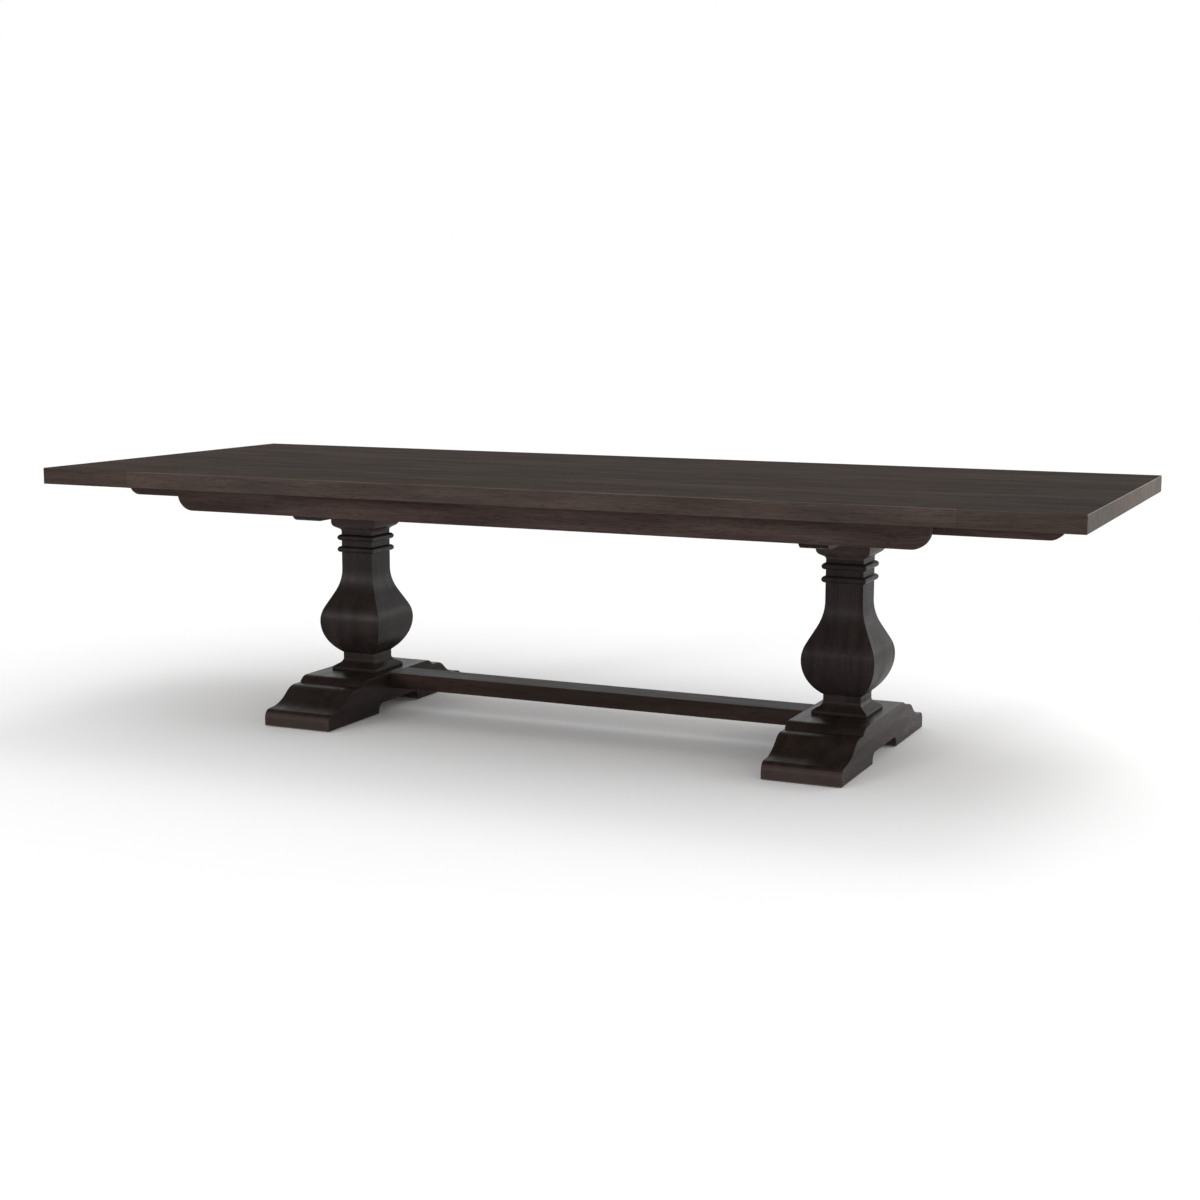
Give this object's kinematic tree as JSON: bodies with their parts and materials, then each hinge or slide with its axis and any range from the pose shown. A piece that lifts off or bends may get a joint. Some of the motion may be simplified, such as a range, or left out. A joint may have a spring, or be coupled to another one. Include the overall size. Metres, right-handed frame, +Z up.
{
  "type": "trestle extension table",
  "caption": "Long trestle dining table on bulb-shaped pedestals, with lift-off end leaves carried on pull-out rails.",
  "frame": {"origin": "on the floor, under the middle of the extended table", "axes": "+Z up, +X along the table's length, the front long side faces -Y"},
  "size_m": [3.048, 1.2, 0.762],
  "materials": {
    "dark_wood": "stained, semi-matt",
    "inner_wood": "plain, unfinished",
    "steel": "zinc plated",
    "glide": "moulded nylon"
  },
  "bodies": {
    "root": {"apron_dowels": "inner_wood", "back_apron": "dark_wood", "bearer_screws": "steel", "cross_member_screws": "steel", "floor_glides": "glide", "front_apron": "dark_wood", "glue_block_screws": "steel", "glue_blocks": "inner_wood", "latch_pins": "steel", "latch_plates": "steel", "left_batten": "inner_wood", "left_bearer": "dark_wood", "left_capital": "dark_wood", "left_crosspiece": "inner_wood", "left_foot": "dark_wood", "left_pedestal": "dark_wood", "left_plinth": "dark_wood", "left_rest_tabs": "steel", "left_tie_rod": "steel", "main_top": "dark_wood", "pedestal_dowels": "inner_wood", "plate_screws": "steel", "right_batten": "inner_wood", "right_bearer": "dark_wood", "right_capital": "dark_wood", "right_crosspiece": "inner_wood", "right_foot": "dark_wood", "right_pedestal": "dark_wood", "right_plinth": "dark_wood", "right_rest_tabs": "steel", "right_tie_rod": "steel", "stretcher": "dark_wood", "stretcher_barrel_nuts": "steel", "stretcher_bolts": "steel", "stretcher_dowels": "inner_wood", "tie_rod_nuts": "steel", "tie_rod_washers": "steel"},
    "front_left_rail": {"front_left_rail": "dark_wood", "front_left_rail_peg": "dark_wood"},
    "front_left_latch_lever": {"front_left_latch_lever": "steel"},
    "back_left_rail": {"back_left_rail": "dark_wood", "back_left_rail_peg": "dark_wood"},
    "back_left_latch_lever": {"back_left_latch_lever": "steel"},
    "left_leaf": {"left_leaf": "dark_wood", "left_leaf_cleat": "inner_wood", "left_cleat_screws": "steel", "left_strikes": "steel", "left_strike_screws": "steel"},
    "front_right_rail": {"front_right_rail": "dark_wood", "front_right_rail_peg": "dark_wood"},
    "front_right_latch_lever": {"front_right_latch_lever": "steel"},
    "back_right_rail": {"back_right_rail": "dark_wood", "back_right_rail_peg": "dark_wood"},
    "back_right_latch_lever": {"back_right_latch_lever": "steel"},
    "right_leaf": {"right_leaf": "dark_wood", "right_leaf_cleat": "inner_wood", "right_cleat_screws": "steel", "right_strikes": "steel", "right_strike_screws": "steel"}
  },
  "joints": [
    {"name": "front_left_rail_slide", "type": "slide", "parent": "root", "child": "front_left_rail", "axis": [1, 0, 0], "range_m": [0, 0.2978]},
    {"name": "back_left_rail_slide", "type": "slide", "parent": "root", "child": "back_left_rail", "axis": [1, 0, 0], "range_m": [0, 0.2978]},
    {"name": "left_leaf_lift", "type": "slide", "parent": "root", "child": "left_leaf", "axis": [0, 0, 1], "range_m": [0, 0.15]},
    {"name": "front_left_latch_swing", "type": "hinge", "parent": "root", "child": "front_left_latch_lever", "pos_m": [-1.1592, -0.16994, 0.708], "axis": [0, 0, 1], "range_deg": [0, 80]},
    {"name": "back_left_latch_swing", "type": "hinge", "parent": "root", "child": "back_left_latch_lever", "pos_m": [-1.1592, 0.16994, 0.708], "axis": [0, 0, 1], "range_deg": [0, 80]},
    {"name": "front_right_rail_slide", "type": "slide", "parent": "root", "child": "front_right_rail", "axis": [-1, 0, 0], "range_m": [0, 0.2978]},
    {"name": "back_right_rail_slide", "type": "slide", "parent": "root", "child": "back_right_rail", "axis": [-1, 0, 0], "range_m": [0, 0.2978]},
    {"name": "right_leaf_lift", "type": "slide", "parent": "root", "child": "right_leaf", "axis": [0, 0, 1], "range_m": [0, 0.15]},
    {"name": "front_right_latch_swing", "type": "hinge", "parent": "root", "child": "front_right_latch_lever", "pos_m": [1.1592, -0.16994, 0.708], "axis": [0, 0, 1], "range_deg": [0, 80]},
    {"name": "back_right_latch_swing", "type": "hinge", "parent": "root", "child": "back_right_latch_lever", "pos_m": [1.1592, 0.16994, 0.708], "axis": [0, 0, 1], "range_deg": [0, 80]}
  ]
}
